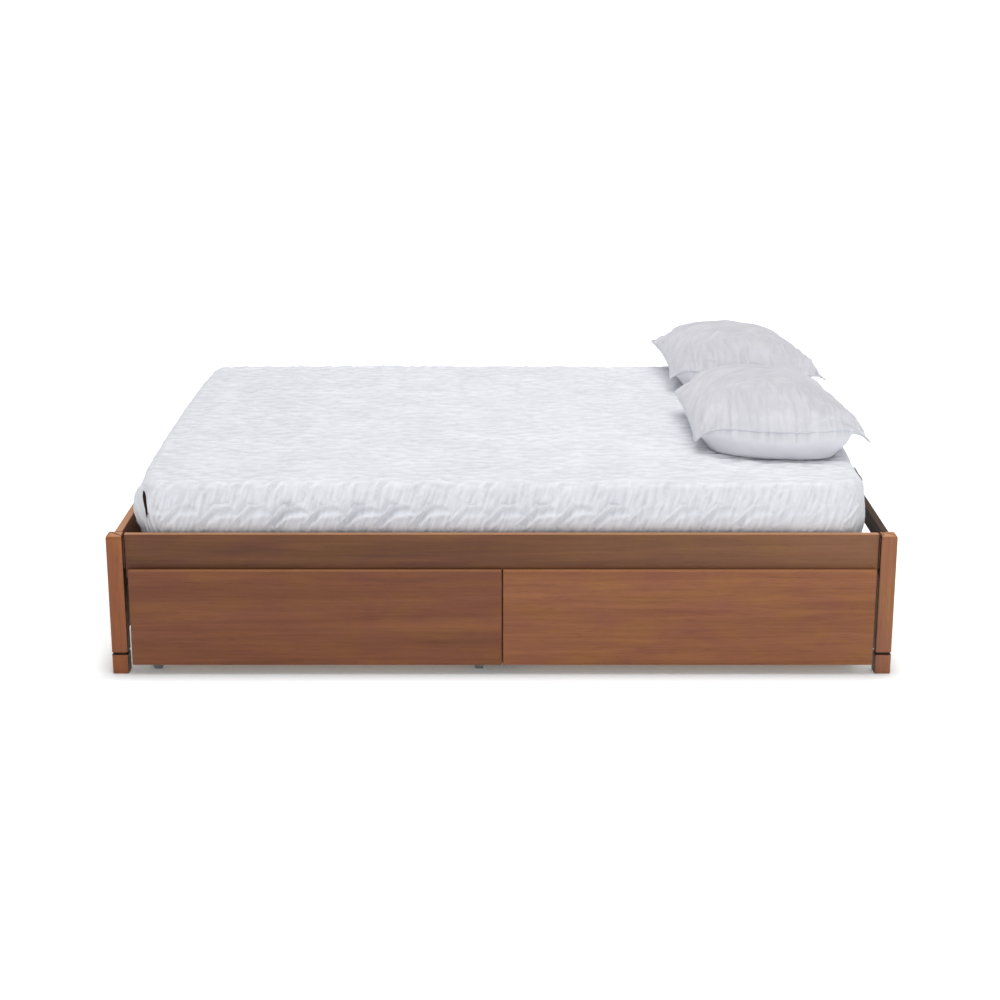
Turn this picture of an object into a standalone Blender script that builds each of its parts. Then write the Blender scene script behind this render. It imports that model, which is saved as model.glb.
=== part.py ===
"""Platform bed with two storage drawers, a quilted mattress cover and two pillows.

Metres, +Z up. X runs along the bed from the foot end (-X) to the head end (+X), and the drawers
pull out towards -Y. The origin is on the floor, at the middle of the whole object's plan.
"""

import math

import bmesh
import bpy
from mathutils import Matrix, Vector

# Overall frame
LENGTH = 2.120
FRAME_WIDTH = 1.610
HEIGHT = 0.394
DRAWER_PROUD = 0.008
GAP = 0.0003

# Posts
POST = 0.044
POST_EDGE = 0.0035
POST_TOP_EDGE = 0.008
POST_FOOT_EDGE = 0.003
GROOVE_Z = 0.0585
GROOVE_HEIGHT = 0.0075
GROOVE_DEPTH = 0.0055

# Rails, foot panel and head rail
BOARD = 0.020
RAIL_BOTTOM = 0.271
RAIL_SETBACK = 0.012
END_SETBACK = 0.018
FOOT_PANEL_BOTTOM = 0.110
HEAD_RAIL_BOTTOM = 0.345
HANGER_STEEL = 0.003
HANGER_LEG = 0.070
HANGER_LOW = 0.300
HANGER_HIGH = 0.385

# Mattress support
LEDGER_WIDTH = 0.022
LEDGER_TOP = 0.2953
LEDGER_HEIGHT = 0.026
SLATS = 12
SLAT_WIDTH = 0.070
SLAT_THICKNESS = 0.015
SLAT_REACH = 0.950
BEAM_WIDTH = 0.035
BEAM_HEIGHT = 0.060
BEAM_HALF_LENGTH = 0.990
LEG = 0.038
LEG_PLACES = (-0.800, 0.0, 0.800)

# Drawers
DRAWER_FOOT_GAP = 0.012
DRAWER_MIDDLE_GAP = 0.003
DRAWER_WIDTH = 1.0045
FRONT_THICKNESS = 0.018
FRONT_BOTTOM = 0.028
FRONT_TOP = 0.2975
BOX_INSET = 0.030
BOX_BOTTOM = 0.050
BOX_TOP = 0.245
BOX_DEPTH = 0.690
BOX_BOARD = 0.012
PANEL_THICKNESS = 0.009

# Casters
WHEEL_RADIUS = 0.020
WHEEL_WIDTH = 0.022
WHEEL_SHOULDER = 0.003
WHEEL_STEPS = 24
AXLE_RADIUS = 0.003
AXLE_CLEARANCE = 0.0001
CASTER_INSET = 0.062
LEFT_CASTER_SETBACK = 0.044
RIGHT_CASTER_SETBACK = 0.090
FORK_STEEL = 0.002
FORK_SIDE_GAP = 0.0006
FORK_PLATE_LENGTH = 0.044
FORK_CHEEK_LENGTH = 0.018
FORK_LOWEST = 0.012

# Bedding
MATTRESS_HALF_LENGTH = 0.974
MATTRESS_FROM_FRONT = 0.056
MATTRESS_WIDTH = 1.504
MATTRESS_BOTTOM = 0.3110
MATTRESS_TOP = 0.5180
MATTRESS_CORNER = 0.060
MATTRESS_EDGE = 0.024
COVER_GAP = 0.0020
COVER_THICKNESS = 0.0080
COVER_HEM = 0.3450
PILLOW_WIDTH = 0.510
PILLOW_CROWN = 0.116
PILLOW_BELLY = 0.076
PILLOW_SQUARENESS = 5
# Middle X, then the near and far ends, measured back from the posts' front faces
PILLOW_ENDS = {"pillow_front": (0.780, 0.245, 0.905), "pillow_rear": (0.765, 0.965, 1.600)}

# Places worked out from the dimensions above
POST_FRONT_Y = -(FRAME_WIDTH - DRAWER_PROUD) / 2
POST_BACK_Y = POST_FRONT_Y + FRAME_WIDTH
INNER_HALF = LENGTH / 2 - POST
RAIL_INNER_Y = POST_FRONT_Y + RAIL_SETBACK + BOARD
BACK_RAIL_INNER_Y = POST_BACK_Y - RAIL_SETBACK - BOARD
SLAT_BOTTOM = LEDGER_TOP + GAP
MIDDLE_Y = (POST_FRONT_Y + POST_BACK_Y) / 2

WALNUT = ("walnut", (0.19, 0.075, 0.038, 1), 0.42, 0.0)
WALNUT_PANEL = ("walnut_panel", (0.17, 0.066, 0.034, 1), 0.42, 0.0)
WALNUT_FRONT = ("walnut_drawer_front", (0.20, 0.078, 0.038, 1), 0.40, 0.0)
DARK_WOOD = ("dark_stained_wood", (0.022, 0.014, 0.011, 1), 0.45, 0.0)
PALE_WOOD = ("pale_softwood", (0.55, 0.38, 0.22, 1), 0.65, 0.0)
PLYWOOD = ("plywood", (0.52, 0.36, 0.21, 1), 0.62, 0.0)
BLACK_STEEL = ("black_steel", (0.020, 0.020, 0.022, 1), 0.45, 0.8)
GREY_STEEL = ("zinc_steel", (0.50, 0.51, 0.52, 1), 0.35, 1.0)
GREY_NYLON = ("grey_nylon", (0.16, 0.16, 0.165, 1), 0.50, 0.0)
TICKING = ("mattress_ticking", (0.030, 0.026, 0.025, 1), 0.90, 0.0)
QUILT = ("quilted_cotton", (0.86, 0.86, 0.87, 1), 0.90, 0.0)
PILLOW_COTTON = ("pillow_cotton", (0.88, 0.88, 0.88, 1), 0.88, 0.0)


def clear_scene():
    for obj in list(bpy.data.objects):
        bpy.data.objects.remove(obj, do_unlink=True)


def collection(name, hidden=False):
    made = bpy.data.collections.new(name)
    bpy.context.scene.collection.children.link(made)
    made.hide_render = hidden
    return made


def material(look):
    """The Principled material of this look, made the first time it is asked for."""
    name, colour, roughness, metallic = look
    made = bpy.data.materials.get(name)
    if made:
        return made
    made = bpy.data.materials.new(name)
    made.use_nodes = True
    shader = made.node_tree.nodes["Principled BSDF"]
    shader.inputs["Base Color"].default_value = colour
    shader.inputs["Roughness"].default_value = roughness
    shader.inputs["Metallic"].default_value = metallic
    made.diffuse_color = colour
    return made


def add_object(name, mesh_tool, place, look, into):
    """An object from a bmesh, at this place."""
    mesh = bpy.data.meshes.new(name)
    mesh_tool.to_mesh(mesh)
    mesh_tool.free()
    obj = bpy.data.objects.new(name, mesh)
    obj.location = place
    if look:
        mesh.materials.append(material(look))
    into.objects.link(obj)
    return obj


def box_mesh(size):
    """A bmesh of a box of this size about its own middle."""
    tool = bmesh.new()
    bmesh.ops.create_cube(tool, size=1.0)
    bmesh.ops.scale(tool, vec=Vector(size), verts=tool.verts)
    return tool


def bevel(obj, width, segments=2):
    modifier = obj.modifiers.new("eased_edges", "BEVEL")
    modifier.width = width
    modifier.segments = segments
    modifier.limit_method = "ANGLE"


def board(name, low, high, look, edge=0.0015, segments=2):
    """A straight board between two opposite corners, with eased edges."""
    low = Vector(low)
    high = Vector(high)
    obj = add_object(name, box_mesh(high - low), (low + high) / 2, look, PARTS)
    bevel(obj, edge, segments)
    return obj


def cylinder_mesh(radius, depth, segments):
    """A bmesh of a cylinder along X about its own middle."""
    tool = bmesh.new()
    bmesh.ops.create_cone(
        tool, cap_ends=True, segments=segments, radius1=radius, radius2=radius, depth=depth
    )
    bmesh.ops.rotate(tool, verts=tool.verts, matrix=Matrix.Rotation(math.pi / 2, 3, "Y"))
    return tool


def boolean(obj, other, operation):
    modifier = obj.modifiers.new(operation.lower(), "BOOLEAN")
    modifier.operation = operation
    modifier.object = other
    modifier.solver = "EXACT"


def helper(name, mesh_tool, place):
    """A hidden solid that only shapes another one."""
    obj = add_object(name, mesh_tool, place, None, CUTTERS)
    obj.hide_render = True
    obj.display_type = "WIRE"
    return obj


def empty(name, place):
    obj = bpy.data.objects.new(name, None)
    obj.location = place
    obj.empty_display_size = 0.05
    PARTS.objects.link(obj)
    return obj


def keep_place(child, parent):
    """Parents child to an unrotated empty without moving it."""
    child.location = child.location - parent.location
    child.parent = parent


def post(name, middle_x, middle_y):
    """A square corner post, rounded at its top and foot, with a groove round it above the floor."""
    tool = box_mesh((POST, POST, HEIGHT))
    uprights = [e for e in tool.edges if abs(e.verts[0].co.z - e.verts[1].co.z) > POST]
    bmesh.ops.bevel(
        tool, geom=uprights, offset=POST_EDGE, segments=2, profile=0.5, affect="EDGES"
    )
    for end, offset in ((HEIGHT / 2, POST_TOP_EDGE), (-HEIGHT / 2, POST_FOOT_EDGE)):
        rim = [e for e in tool.edges if all(abs(v.co.z - end) < GAP for v in e.verts)]
        bmesh.ops.bevel(
            tool, geom=rim, offset=offset, segments=3, profile=0.5, affect="EDGES"
        )
    obj = add_object(name, tool, (middle_x, middle_y, HEIGHT / 2), WALNUT, PARTS)
    ring = box_mesh((POST * 1.5, POST * 1.5, GROOVE_HEIGHT))
    cutter = helper(f"{name}_groove", ring, (middle_x, middle_y, GROOVE_Z))
    inside = POST - 2 * GROOVE_DEPTH
    core = box_mesh((inside, inside, GROOVE_HEIGHT * 2))
    boolean(cutter, helper(f"{name}_groove_core", core, cutter.location), "DIFFERENCE")
    boolean(obj, cutter, "DIFFERENCE")
    return obj


def posts():
    end = LENGTH / 2 - POST / 2
    for side, y in (("front", POST_FRONT_Y + POST / 2), ("back", POST_BACK_Y - POST / 2)):
        post(f"post_{side}_foot", -end, y)
        post(f"post_{side}_head", end, y)


def side_rails():
    """The two long rails, each between the steel hangers on its posts."""
    half = INNER_HALF - HANGER_STEEL - 2 * GAP
    for side, y in (("front", RAIL_INNER_Y - BOARD), ("back", BACK_RAIL_INNER_Y)):
        board(f"side_rail_{side}", (-half, y, RAIL_BOTTOM), (half, y + BOARD, HEIGHT), WALNUT, 0.002)


def end_boards():
    """The deep foot panel that hides the drawers' sides, and the slim dark head rail."""
    front = POST_FRONT_Y + POST + GAP
    back = POST_BACK_Y - POST - GAP
    outer = LENGTH / 2 - END_SETBACK
    inner = outer - BOARD
    board("foot_panel", (-outer, front, FOOT_PANEL_BOTTOM), (-inner, back, HEIGHT), WALNUT_PANEL, 0.002)
    board("head_rail", (inner, front, HEAD_RAIL_BOTTOM), (outer, back, HEIGHT), DARK_WOOD, 0.002)


def rail_hanger(name, end, wall_y, side):
    """An L-shaped steel plate: one leg against the post, behind the rail's end, one on the rail."""
    leg_x = sorted((end * (INNER_HALF - GAP), end * (INNER_HALF - HANGER_STEEL - GAP)))
    rail_x = sorted((end * (INNER_HALF - GAP), end * (INNER_HALF - HANGER_LEG)))
    face = wall_y + side * GAP
    leg_y = sorted((face + side * HANGER_STEEL, wall_y - side * (BOARD + 0.004)))
    rail_y = sorted((face, face + side * HANGER_STEEL))
    height = HANGER_HIGH - HANGER_LOW
    middle = Vector((sum(rail_x) / 2, sum(rail_y) / 2, (HANGER_LOW + HANGER_HIGH) / 2))
    plate = box_mesh((rail_x[1] - rail_x[0], HANGER_STEEL, height))
    obj = add_object(name, plate, middle, BLACK_STEEL, PARTS)
    leg = box_mesh((HANGER_STEEL, leg_y[1] - leg_y[0], height))
    boolean(obj, helper(f"{name}_leg", leg, (sum(leg_x) / 2, sum(leg_y) / 2, middle.z)), "UNION")
    return obj


def hangers():
    for side, wall, way in (("front", RAIL_INNER_Y, 1), ("back", BACK_RAIL_INNER_Y, -1)):
        rail_hanger(f"rail_hanger_{side}_foot", -1, wall, way)
        rail_hanger(f"rail_hanger_{side}_head", 1, wall, way)


def mattress_support():
    """Ledgers on the side rails, a beam on legs down the middle, and the slats across all three."""
    half = INNER_HALF - HANGER_STEEL - 2 * GAP
    low = LEDGER_TOP - LEDGER_HEIGHT
    front = RAIL_INNER_Y + GAP
    back = BACK_RAIL_INNER_Y - GAP
    board("ledger_front", (-half, front, low), (half, front + LEDGER_WIDTH, LEDGER_TOP), PALE_WOOD)
    board("ledger_back", (-half, back - LEDGER_WIDTH, low), (half, back, LEDGER_TOP), PALE_WOOD)

    beam_low = LEDGER_TOP - BEAM_HEIGHT
    board(
        "centre_beam",
        (-BEAM_HALF_LENGTH, MIDDLE_Y - BEAM_WIDTH / 2, beam_low),
        (BEAM_HALF_LENGTH, MIDDLE_Y + BEAM_WIDTH / 2, LEDGER_TOP),
        PALE_WOOD,
    )
    for number, x in enumerate(LEG_PLACES, 1):
        board(
            f"centre_leg_{number}",
            (x - LEG / 2, MIDDLE_Y - LEG / 2, 0),
            (x + LEG / 2, MIDDLE_Y + LEG / 2, beam_low - GAP),
            PALE_WOOD,
            0.002,
        )

    slat_front = RAIL_INNER_Y + HANGER_STEEL + 2 * GAP
    slat_back = BACK_RAIL_INNER_Y - HANGER_STEEL - 2 * GAP
    for number in range(SLATS):
        x = -SLAT_REACH + 2 * SLAT_REACH * number / (SLATS - 1)
        board(
            f"slat_{number + 1:02d}",
            (x - SLAT_WIDTH / 2, slat_front, SLAT_BOTTOM),
            (x + SLAT_WIDTH / 2, slat_back, SLAT_BOTTOM + SLAT_THICKNESS),
            PALE_WOOD,
            0.003,
        )


def wheel(name, place, parent):
    """A turned wheel with rounded shoulders, bored for its axle, its origin on the axle's axis."""
    half = WHEEL_WIDTH / 2
    bore = AXLE_RADIUS + AXLE_CLEARANCE
    centre_r = WHEEL_RADIUS - WHEEL_SHOULDER
    centre_z = half - WHEEL_SHOULDER
    arc = [
        (centre_r + WHEEL_SHOULDER * math.cos(a), centre_z + WHEEL_SHOULDER * math.sin(a))
        for a in (math.pi / 2, math.pi / 4, 0)
    ]
    outline = [(bore, half)] + arc + [(r, -z) for r, z in reversed(arc)] + [(bore, -half)]
    mesh = bpy.data.meshes.new(name)
    count = len(outline)
    mesh.from_pydata(
        [(r, 0, z) for r, z in outline],
        [(i, (i + 1) % count) for i in range(count)],
        [],
    )
    mesh.materials.append(material(GREY_NYLON))
    obj = bpy.data.objects.new(name, mesh)
    PARTS.objects.link(obj)
    turn = obj.modifiers.new("turned", "SCREW")
    turn.axis = "Z"
    turn.angle = 2 * math.pi
    turn.steps = WHEEL_STEPS
    turn.render_steps = WHEEL_STEPS
    turn.use_merge_vertices = True
    turn.merge_threshold = 0.00001
    turn.use_normal_calculate = True
    obj.rotation_euler = (0, math.pi / 2, 0)
    obj.location = place
    keep_place(obj, parent)
    return obj


def caster_fork(name, place, parent):
    """A steel plate screwed under the drawer, two cheeks hanging from it, and the axle across them."""
    x, y, z = place
    top = BOX_BOTTOM - GAP
    span = WHEEL_WIDTH + 2 * FORK_SIDE_GAP + 2 * FORK_STEEL
    plate = box_mesh((FORK_PLATE_LENGTH, FORK_PLATE_LENGTH, FORK_STEEL))
    obj = add_object(name, plate, (x, y, top - FORK_STEEL / 2), GREY_STEEL, PARTS)
    cheek_height = top - FORK_LOWEST
    for side in (-1, 1):
        cheek = box_mesh((FORK_STEEL, FORK_CHEEK_LENGTH, cheek_height))
        middle = (x + side * (span - FORK_STEEL) / 2, y, top - cheek_height / 2)
        boolean(obj, helper(f"{name}_cheek_{side + 1}", cheek, middle), "UNION")
    axle = helper(f"{name}_axle", cylinder_mesh(AXLE_RADIUS, span + 0.002, 24), (x, y, z))
    boolean(obj, axle, "UNION")
    keep_place(obj, parent)
    return obj


def drawer(side, left, right, setback):
    """One drawer: its front, the box behind it and its four casters, on an empty that slides."""
    front_y = POST_FRONT_Y - DRAWER_PROUD
    box_front = front_y + FRONT_THICKNESS + GAP
    box_back = box_front + BOX_DEPTH
    low_x = left + BOX_INSET
    high_x = right - BOX_INSET
    slide = empty(f"drawer_{side}_slide_origin", ((left + right) / 2, front_y, FRONT_BOTTOM))
    sides_low = BOX_BOTTOM + PANEL_THICKNESS + GAP

    pieces = [
        board(
            f"drawer_{side}_front",
            (left, front_y, FRONT_BOTTOM),
            (right, front_y + FRONT_THICKNESS, FRONT_TOP),
            WALNUT_FRONT,
            0.003,
            3,
        ),
        board(
            f"drawer_{side}_bottom",
            (low_x, box_front, BOX_BOTTOM),
            (high_x, box_back, BOX_BOTTOM + PANEL_THICKNESS),
            PLYWOOD,
            0.0008,
            1,
        ),
        board(
            f"drawer_{side}_side_foot",
            (low_x, box_front, sides_low),
            (low_x + BOX_BOARD, box_back, BOX_TOP),
            PLYWOOD,
        ),
        board(
            f"drawer_{side}_side_head",
            (high_x - BOX_BOARD, box_front, sides_low),
            (high_x, box_back, BOX_TOP),
            PLYWOOD,
        ),
        board(
            f"drawer_{side}_back",
            (low_x + BOX_BOARD + GAP, box_back - BOX_BOARD, sides_low),
            (high_x - BOX_BOARD - GAP, box_back, BOX_TOP),
            PLYWOOD,
        ),
    ]
    for piece in pieces:
        keep_place(piece, slide)

    for end, x in (("foot", left + CASTER_INSET), ("head", right - CASTER_INSET)):
        near = POST_FRONT_Y + setback
        far = box_back - (near - box_front)
        for row, y in (("front", near), ("back", far)):
            place = Vector((x, y, WHEEL_RADIUS))
            caster_fork(f"caster_{side}_{row}_{end}", place, slide)
            wheel(f"wheel_{side}_{row}_{end}", place, slide)


def drawers():
    left = DRAWER_FOOT_GAP - INNER_HALF
    right = left + DRAWER_WIDTH + DRAWER_MIDDLE_GAP
    drawer("left", left, left + DRAWER_WIDTH, LEFT_CASTER_SETBACK)
    drawer("right", right, right + DRAWER_WIDTH, RIGHT_CASTER_SETBACK)


def rounded_block(size, corner, edge):
    """A bmesh of a block with rounded upright corners and softer top and bottom edges."""
    tool = box_mesh(size)
    uprights = [e for e in tool.edges if abs(e.verts[0].co.z - e.verts[1].co.z) > size.z / 2]
    bmesh.ops.bevel(tool, geom=uprights, offset=corner, segments=5, profile=0.5, affect="EDGES")
    rims = [e for e in tool.edges if abs(e.verts[0].co.z - e.verts[1].co.z) < GAP]
    bmesh.ops.bevel(tool, geom=rims, offset=edge, segments=2, profile=0.5, affect="EDGES")
    return tool


def mattress_and_cover():
    """The mattress, and the fitted quilted cover over its top and sides."""
    middle_y = POST_FRONT_Y + MATTRESS_FROM_FRONT + MATTRESS_WIDTH / 2
    height = MATTRESS_TOP - MATTRESS_BOTTOM
    lift = empty("mattress_lift_origin", (0, middle_y, MATTRESS_BOTTOM))
    size = Vector((2 * MATTRESS_HALF_LENGTH, MATTRESS_WIDTH, height))
    place = (0, middle_y, MATTRESS_BOTTOM + height / 2)
    core = rounded_block(size, MATTRESS_CORNER, MATTRESS_EDGE)
    keep_place(add_object("mattress", core, place, TICKING, PARTS), lift)

    grow = COVER_GAP + COVER_THICKNESS
    outer_size = size + Vector((2 * grow, 2 * grow, 2 * grow))
    outer = rounded_block(outer_size, MATTRESS_CORNER + grow, MATTRESS_EDGE + grow)
    bmesh.ops.bisect_plane(
        outer,
        geom=outer.verts[:] + outer.edges[:] + outer.faces[:],
        plane_co=(0, 0, COVER_HEM - place[2]),
        plane_no=(0, 0, 1),
        clear_inner=True,
    )
    cover = add_object("mattress_cover", outer, place, QUILT, PARTS)
    shell = cover.modifiers.new("shell", "SOLIDIFY")
    shell.thickness = COVER_THICKNESS
    shell.offset = -1
    shell.use_even_offset = True
    keep_place(cover, lift)
    return lift


def pillow_mesh(length):
    """A bmesh of a pillow about the middle of its seam: a sphere drawn out to a rounded rectangle."""
    tool = bmesh.new()
    bmesh.ops.create_uvsphere(tool, u_segments=28, v_segments=10, radius=1.0)
    for vert in tool.verts:
        out = min(math.hypot(vert.co.x, vert.co.y), 1.0)
        if vert.co.z > 0:
            vert.co.z = PILLOW_CROWN * (1 - out**2.6) ** 0.75
        else:
            vert.co.z = -PILLOW_BELLY * (1 - out**5) ** 0.6
        if out > 0:
            n = PILLOW_SQUARENESS
            reach = out / (abs(vert.co.x) ** n + abs(vert.co.y) ** n) ** (1 / n)
            vert.co.x *= reach * PILLOW_WIDTH / 2
            vert.co.y *= reach * length / 2
    return tool


def pillows(mattress_lift):
    """Two pillows side by side at the head end, each lying on the cover."""
    rest = MATTRESS_TOP + COVER_GAP + COVER_THICKNESS + GAP
    for name, (x, near, far) in PILLOW_ENDS.items():
        y = POST_FRONT_Y + (near + far) / 2
        lift = empty(f"{name}_lift_origin", (x, y, rest))
        place = (x, y, rest + PILLOW_BELLY)
        pillow = add_object(name, pillow_mesh(far - near), place, PILLOW_COTTON, PARTS)
        for face in pillow.data.polygons:
            face.use_smooth = True
        keep_place(pillow, lift)
        keep_place(lift, mattress_lift)


clear_scene()
PARTS = collection("platform_bed")
CUTTERS = collection("cutters", hidden=True)
posts()
side_rails()
end_boards()
hangers()
mattress_support()
drawers()
pillows(mattress_and_cover())
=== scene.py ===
"""Looks for the platform bed with storage drawers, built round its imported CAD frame.

Metres, +Z up, in the frame's own axes: X runs from the foot end (-X) to the head end (+X), and the
drawers pull out towards -Y. The wood and metal parts are the CAD nodes with better materials. The
quilted cover, the mattress and the pillows are new pieces that replace their plain solids.
"""

import math

import bmesh
import bpy
import numpy as np
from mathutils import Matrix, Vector


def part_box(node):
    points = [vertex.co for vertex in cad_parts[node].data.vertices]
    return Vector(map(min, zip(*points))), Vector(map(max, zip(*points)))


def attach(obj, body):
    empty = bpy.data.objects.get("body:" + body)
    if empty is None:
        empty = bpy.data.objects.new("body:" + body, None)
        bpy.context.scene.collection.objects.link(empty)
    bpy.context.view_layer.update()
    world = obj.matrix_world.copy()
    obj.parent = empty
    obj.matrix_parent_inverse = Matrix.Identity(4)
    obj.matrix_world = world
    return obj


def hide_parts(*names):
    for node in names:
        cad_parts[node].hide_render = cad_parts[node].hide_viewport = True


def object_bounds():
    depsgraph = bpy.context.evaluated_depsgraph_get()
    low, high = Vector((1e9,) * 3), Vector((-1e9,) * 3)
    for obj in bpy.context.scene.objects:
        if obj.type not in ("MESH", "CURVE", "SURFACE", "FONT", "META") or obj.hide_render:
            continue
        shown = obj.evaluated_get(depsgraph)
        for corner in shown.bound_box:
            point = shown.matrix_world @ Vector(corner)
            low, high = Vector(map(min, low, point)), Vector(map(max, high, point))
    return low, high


# Camera: a long lens, level with the bed's middle and tipped down at it
LENS = 70.06
SENSOR = 36.0
CAMERA_BACK = 4.971
CAMERA_HEIGHT = 1.9235
CAMERA_PITCH = math.radians(16.05)
CAMERA_SHIFT_X = -0.0016

# Quilted cover: circles in a square lattice, sewn through a thin filling
CLOTH_STEP = 0.0033
TOP_STEP = 0.0048
SIDE_STEP = 0.0028
COVER_CORNER = 0.070
COVER_EDGE = 0.030
COVER_INSET = 0.004
QUILT_PITCH = 0.0967
QUILT_X = -0.423
QUILT_Y = -0.4965
EDGE_SLACK = -0.006
FOOT_BULGE = 0.017
HEAD_BULGE = 0.014
FOLD_TOP = 0.508
FOLD_HEIGHT = 0.122
FOLD_DEPTH = 0.021
CIRCLE_PUFF = 0.0018
DIAMOND_PUFF = 0.0013
STITCH_SPREAD = 0.014
HEM_RADIUS = 0.0035
COVER_LOWEST = -0.0056

# Mattress under the cover
CORE_STEP = 0.016
TUFT_PITCH = 0.11
TUFT_DEPTH = 0.0012

# Studio floor: where it starts to rise as a backdrop, how far off that ends and how high, how far
# from the bed its glow grows brighter, and how bright the glow is under, near and far off; the weak
# glow under and near the bed paints its shadow
FLOOR_FLAT = 50.0
BACKDROP_AWAY = 600.0
BACKDROP_RISE = 12.0
FLOOR_SHADE_REACH = 0.06
FLOOR_BRIGHT = 1.5
FLOOR_GLOW = 0.10
FLOOR_NEAR_GLOW = 0.40
FLOOR_FAR_GLOW = 0.68

# Groove round the foot of each post: its middle's height, and half as tall as it is
GROOVE_Z = 0.0585
GROOVE_HALF = 0.0037

# Drawers' plywood: how deep one pale and one dark layer are together
PLY_PITCH = 0.0034

# Pillows
CASE_STEP = 0.007
CASE_FRAMES = 22
CASE_PRESSURE = 2.5
CASE_SLACK = 0.035
SEAM_GATHER = 0.06
CASE_MOST = 0.010
PILLOW_SEAM = 0.082
UNDERSIDE = 0.160
UNDER_BULGE = 0.016
SEAM_INSET = 0.014
SEAM_BOW = 2.4
SEAM_FULLNESS = 7.0
EARS = (0.05, 0.20)
DOME_STEEPNESS = 0.62
CROWN_DROP = 0.022
PIPING_RADIUS = 0.0022

# Each pillow's four tips, by their sides along X and Y: the inset along X, the inset along Y, the lift
FRONT_PILLOW_TIPS = {
    (-1, -1): (0.018, 0.130, 0.024),
    (1, -1): (-0.014, 0.110, 0.030),
    (-1, 1): (0.000, 0.050, 0.062),
    (1, 1): (0.042, 0.110, 0.066),
}
REAR_PILLOW_TIPS = {
    (-1, -1): (0.026, 0.190, 0.034),
    (1, -1): (-0.018, 0.110, 0.052),
    (-1, 1): (-0.004, 0.030, 0.078),
    (1, 1): (0.060, 0.110, 0.080),
}


def srgb(red, green, blue):
    """A linear colour from its everyday 0 to 255 values."""
    parts = [c / 255 for c in (red, green, blue)]
    return tuple(c / 12.92 if c <= 0.04045 else ((c + 0.055) / 1.055) ** 2.4 for c in parts) + (1.0,)


# ---------------------------------------------------------------- repeatable noise for the meshes


def lattice_value(column, row, seed):
    """A repeatable value from 0 to 1 for each whole-numbered place."""
    a = np.asarray(column, np.int64)
    b = np.asarray(row, np.int64)
    mixed = (a * 374761393 + b * 668265263 + seed * 362437) & 0xFFFFFFFF
    mixed = ((mixed ^ (mixed >> 13)) * 1274126177) & 0xFFFFFFFF
    return ((mixed ^ (mixed >> 16)) & 0xFFFF) / 65535


def fade(t):
    return t * t * t * (t * (t * 6 - 15) + 10)


def smooth_step(value, low, high):
    t = np.clip((value - low) / (high - low), 0, 1)
    return t * t * (3 - 2 * t)


def ripple_noise(x, y, seed):
    """Gradient noise from about -1 to 1, with one swell for each unit of x and y."""
    column = np.floor(x)
    row = np.floor(y)
    total = 0
    for step_x in (0, 1):
        for step_y in (0, 1):
            angle = 2 * math.pi * lattice_value(column + step_x, row + step_y, seed)
            from_x = x - column - step_x
            from_y = y - row - step_y
            weight = fade(1 - np.abs(from_x)) * fade(1 - np.abs(from_y))
            total = total + weight * (np.cos(angle) * from_x + np.sin(angle) * from_y)
    return 1.5 * total


# ---------------------------------------------------------------------------------- mesh helpers


def mesh_object(name, points, faces):
    """An object from arrays of points and equal-sided faces, shaded smooth."""
    mesh = bpy.data.meshes.new(name)
    mesh.vertices.add(len(points))
    mesh.vertices.foreach_set("co", np.asarray(points, np.float32).ravel())
    mesh.loops.add(faces.size)
    mesh.loops.foreach_set("vertex_index", np.asarray(faces, np.int32).ravel())
    mesh.polygons.add(len(faces))
    starts = np.arange(0, faces.size, faces.shape[1], dtype=np.int32)
    mesh.polygons.foreach_set("loop_start", starts)
    mesh.polygons.foreach_set("use_smooth", np.ones(len(faces), bool))
    mesh.update(calc_edges=True)
    obj = bpy.data.objects.new(name, mesh)
    bpy.context.scene.collection.objects.link(obj)
    return obj


def grid_faces(columns, rows):
    """The faces of a grid whose points are numbered row by row within each column."""
    index = np.arange(columns * rows).reshape(columns, rows)
    corners = (index[:-1, :-1], index[1:, :-1], index[1:, 1:], index[:-1, 1:])
    return np.stack(corners, -1).reshape(-1, 4)


def tube(name, path, radius, sides=8, closed=True):
    """A round tube along a path of points."""
    path = np.asarray(path, float)
    ahead = np.roll(path, -1, 0)
    behind = np.roll(path, 1, 0)
    if not closed:
        ahead[-1] = path[-1]
        behind[0] = path[0]
    along = ahead - behind
    along /= np.linalg.norm(along, axis=1, keepdims=True)
    side = np.cross(along, (0.0, 0.0, 1.0))
    flat = np.linalg.norm(side, axis=1, keepdims=True)
    side = np.where(flat > 1e-6, side / np.maximum(flat, 1e-6), (1.0, 0.0, 0.0))
    upright = np.cross(side, along)
    rings = []
    for k in range(sides):
        angle = 2 * math.pi * k / sides
        rings.append(path + radius * (math.cos(angle) * side + math.sin(angle) * upright))
    points = np.stack(rings, 1).reshape(-1, 3)
    count = len(path)
    faces = []
    for i in range(count if closed else count - 1):
        after = (i + 1) % count
        for k in range(sides):
            beside = (k + 1) % sides
            faces.append((i * sides + k, i * sides + beside, after * sides + beside, after * sides + k))
    return mesh_object(name, points, np.array(faces))


def paint(obj, material):
    obj.data.materials.clear()
    obj.data.materials.append(material)


# ------------------------------------------------------------------------------ shader helpers


def new_material(name, **sockets):
    """A Principled material with these sockets set. Their names have _ for a space."""
    made = bpy.data.materials.new(name)
    made.use_nodes = True
    shader = made.node_tree.nodes["Principled BSDF"]
    for socket, value in sockets.items():
        shader.inputs[socket.replace("_", " ")].default_value = value
    return made, made.node_tree, shader


def add_node(tree, kind, inputs=None, **settings):
    """Adds a shader node, with inputs set to values or joined to other nodes' outputs."""
    made = tree.nodes.new(f"ShaderNode{kind}")
    for name, value in settings.items():
        setattr(made, name, value)
    for key, value in (inputs or {}).items():
        if isinstance(value, bpy.types.NodeSocket):
            tree.links.new(value, made.inputs[key])
        else:
            made.inputs[key].default_value = value
    return made


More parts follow.
